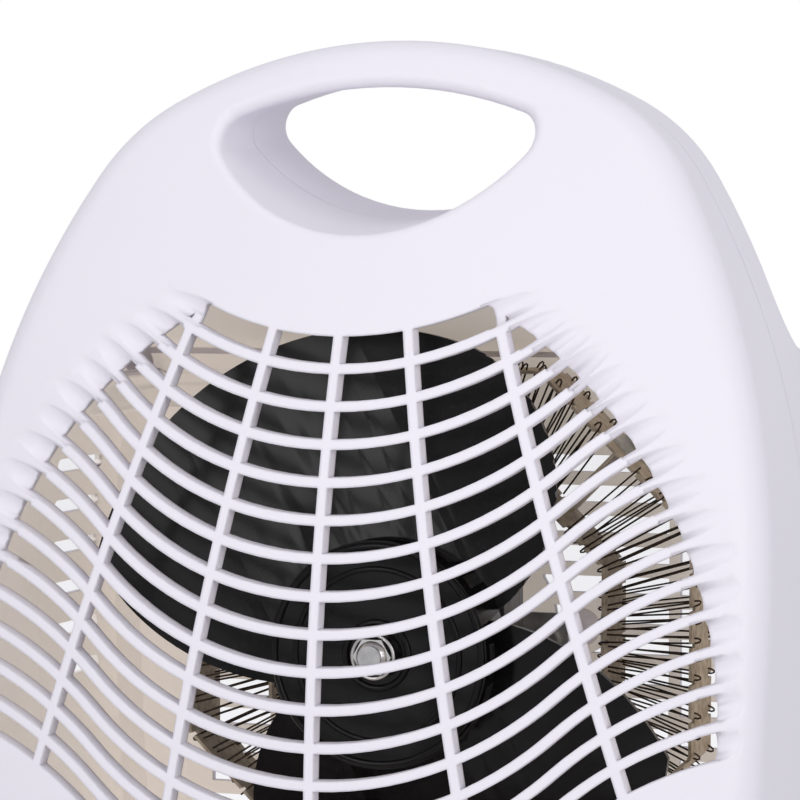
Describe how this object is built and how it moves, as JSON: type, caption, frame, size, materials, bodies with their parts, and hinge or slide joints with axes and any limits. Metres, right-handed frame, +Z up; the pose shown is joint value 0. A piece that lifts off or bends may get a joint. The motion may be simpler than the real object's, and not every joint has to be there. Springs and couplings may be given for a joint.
{
  "type": "fan heater",
  "caption": "Upright portable fan heater with a carrying handle cut through the top, a bowed slatted front grille, a two-blade fan, a ring heating element and two dials.",
  "frame": {"origin": "middle of the bounding box at floor level, under the feet", "axes": "+Z up, -Y is the front with the grille and dials, X across the width"},
  "size_m": [0.208, 0.134, 0.258],
  "materials": {
    "white_plastic": "fine-textured moulded ABS",
    "foot_rubber": "matt rubber",
    "screw_steel": "zinc-plated steel",
    "fan_black": "glossy black moulded plastic",
    "shaft_steel": "ground steel",
    "rotor_steel": "laminated steel with cast bars",
    "coil_tape": "winding under yellow tape",
    "bracket_steel": "pressed zinc-plated steel",
    "bush_bronze": "sintered bronze",
    "mica_board": "pressed mica board",
    "heater_wire": "oxidised resistance wire",
    "cutout_body": "black moulded phenolic",
    "fuse_case": "plain aluminium can",
    "dial_plastic": "smooth moulded plastic",
    "spindle_plastic": "moulded nylon",
    "strip_brass": "spring strip",
    "lens_red": "translucent red lens",
    "lamp_glass": "small neon lamp"
  },
  "bodies": {
    "housing": {"front_shell": "white_plastic", "rear_shell": "white_plastic", "rubber_feet": "foot_rubber", "case_screws": "screw_steel", "motor_screws": "screw_steel", "element_screws": "screw_steel", "motor_core": "rotor_steel", "motor_coil": "coil_tape", "front_bracket": "bracket_steel", "rear_bracket": "bracket_steel", "element_clips": "bracket_steel", "front_bush": "bush_bronze", "rear_bush": "bush_bronze", "mica_inner_ring": "mica_board", "mica_outer_ring": "mica_board", "mica_spokes": "mica_board", "heater_wire_front": "heater_wire", "heater_wire_rear": "heater_wire", "thermal_cutout": "cutout_body", "thermostat_frame": "cutout_body", "selector_switch": "cutout_body", "thermal_fuse": "fuse_case", "thermostat_blade": "strip_brass", "pilot_lens": "lens_red", "pilot_lamp": "lamp_glass"},
    "fan": {"fan_impeller": "fan_black", "fan_nut": "screw_steel", "motor_shaft": "shaft_steel", "motor_rotor": "rotor_steel"},
    "thermostat_knob": {"thermostat_dial": "dial_plastic", "thermostat_spindle": "spindle_plastic"},
    "selector_knob": {"selector_dial": "dial_plastic", "selector_spindle": "spindle_plastic"}
  },
  "joints": [
    {"name": "fan_spin", "type": "hinge", "parent": "housing", "child": "fan", "pos_m": [0, 0, 0.1065], "axis": [0, 1, 0], "continuous": true},
    {"name": "thermostat_turn", "type": "hinge", "parent": "housing", "child": "thermostat_knob", "pos_m": [-0.058, 0, 0.036], "axis": [0, 1, 0], "range_deg": [0, 270]},
    {"name": "selector_turn", "type": "hinge", "parent": "housing", "child": "selector_knob", "pos_m": [0.058, 0, 0.036], "axis": [0, 1, 0], "range_deg": [0, 270]}
  ]
}
